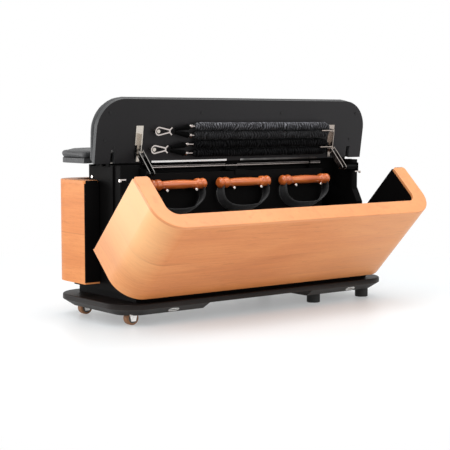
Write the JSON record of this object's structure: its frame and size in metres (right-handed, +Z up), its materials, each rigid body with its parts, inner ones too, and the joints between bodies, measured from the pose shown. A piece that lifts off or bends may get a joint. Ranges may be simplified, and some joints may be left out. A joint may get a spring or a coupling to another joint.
{
  "type": "exercise storage bench",
  "caption": "Long padded bench on a rolling base with tilt-out curved wood shells, two hinged padded lids, stretch bands on the open lid, a chrome rod and hand grips on pegs inside.",
  "frame": {"origin": "on the floor, at the middle of the base board, where the two shells meet when both are closed", "axes": "+X along the bench towards the end with the feet, -Y towards the open front shell, +Z up"},
  "size_m": [0.94, 0.525, 0.5778],
  "materials": {
    "black_board": "satin black laminate",
    "alder": "clear satin lacquer",
    "turned_wood": "clear gloss lacquer",
    "leatherette": "grained matte",
    "chrome": "polished",
    "steel": "bright plated",
    "alloy": "bright",
    "black_plastic": "moulded",
    "webbing": "woven",
    "sleeve": "gathered cloth",
    "rubber": "matte",
    "tread": "matte",
    "hub": "moulded"
  },
  "bodies": {
    "carcass": {"base_board": "black_board", "base_ends": "black_board", "box_ends": "black_board", "box_front": "black_board", "box_rear": "black_board", "box_top": "black_board", "carcass_floor": "black_board", "castor_forks": "steel", "edge_rings": "steel", "end_panel_left": "black_board", "end_panel_right": "black_board", "feet": "rubber", "fixed_leaves": "steel", "front_posts": "black_board", "handle_left": "turned_wood", "handle_middle": "turned_wood", "handle_pegs": "steel", "handle_right": "turned_wood", "handle_strap_left": "webbing", "handle_strap_middle": "webbing", "handle_strap_right": "webbing", "lid_mounts": "steel", "plinth_frame": "black_board", "rod": "chrome", "rod_block": "black_plastic", "rod_brackets": "steel", "shell_catches": "steel", "spine_board": "black_board"},
    "front_shell": {"front_shell_skin": "alder", "front_shell_core": "black_board", "front_shell_top_rim": "alder", "front_shell_bottom_rim": "alder", "front_shell_hinge_leaf": "steel"},
    "rear_shell": {"rear_shell_skin": "alder", "rear_shell_core": "black_board", "rear_shell_top_rim": "alder", "rear_shell_bottom_rim": "alder", "rear_shell_hinge_leaf": "steel"},
    "front_lid": {"front_lid_board": "black_board", "front_lid_cushion": "leatherette", "front_lid_strips": "alloy", "front_lid_pivots": "steel", "front_lid_plates": "steel", "front_lid_screws": "steel", "band_upper": "sleeve", "band_lower": "sleeve", "band_ferrules": "chrome", "band_cones": "webbing", "snap_hooks": "chrome", "band_holders": "steel"},
    "rear_lid": {"rear_lid_board": "black_board", "rear_lid_cushion": "leatherette", "rear_lid_pivots": "steel", "rear_lid_plates": "steel"},
    "front_stay": {"front_stays": "steel"},
    "rear_stay": {"rear_stays": "steel"},
    "castor_front": {"castor_hub_front": "hub", "castor_tread_front": "tread"},
    "castor_rear": {"castor_hub_rear": "hub", "castor_tread_rear": "tread"}
  },
  "joints": [
    {"name": "front_shell_tilt", "type": "hinge", "parent": "carcass", "child": "front_shell", "pos_m": [0, -0.1379, 0.0975], "axis": [1, 0, 0], "range_deg": [-43.69, 0]},
    {"name": "rear_shell_tilt", "type": "hinge", "parent": "carcass", "child": "rear_shell", "pos_m": [0, 0.1379, 0.0975], "axis": [1, 0, 0], "range_deg": [-43.69, 0]},
    {"name": "front_lid_hinge", "type": "hinge", "parent": "carcass", "child": "front_lid", "pos_m": [0, -0.0246, 0.43057], "axis": [1, 0, 0], "range_deg": [0, 81.54]},
    {"name": "rear_lid_hinge", "type": "hinge", "parent": "carcass", "child": "rear_lid", "pos_m": [0, 0.0246, 0.43057], "axis": [1, 0, 0], "range_deg": [0, 81.54]},
    {"name": "front_stay_turn", "type": "hinge", "parent": "carcass", "child": "front_stay", "pos_m": [0, -0.108, 0.384], "axis": [1, 0, 0], "range_deg": [-35.23, 0.5]},
    {"name": "rear_stay_turn", "type": "hinge", "parent": "carcass", "child": "rear_stay", "pos_m": [0, 0.108, 0.384], "axis": [1, 0, 0], "range_deg": [-35.23, 0.5]},
    {"name": "castor_front_roll", "type": "hinge", "parent": "carcass", "child": "castor_front", "pos_m": [-0.404, -0.1115, 0.018], "axis": [0, 1, 0], "continuous": true},
    {"name": "castor_rear_roll", "type": "hinge", "parent": "carcass", "child": "castor_rear", "pos_m": [-0.404, 0.1115, 0.018], "axis": [0, 1, 0], "continuous": true}
  ],
  "couplings": [
    {"joint": "front_stay_turn", "follows": "front_lid_hinge", "ratio": -0.42588},
    {"joint": "rear_stay_turn", "follows": "rear_lid_hinge", "ratio": -0.42588}
  ]
}
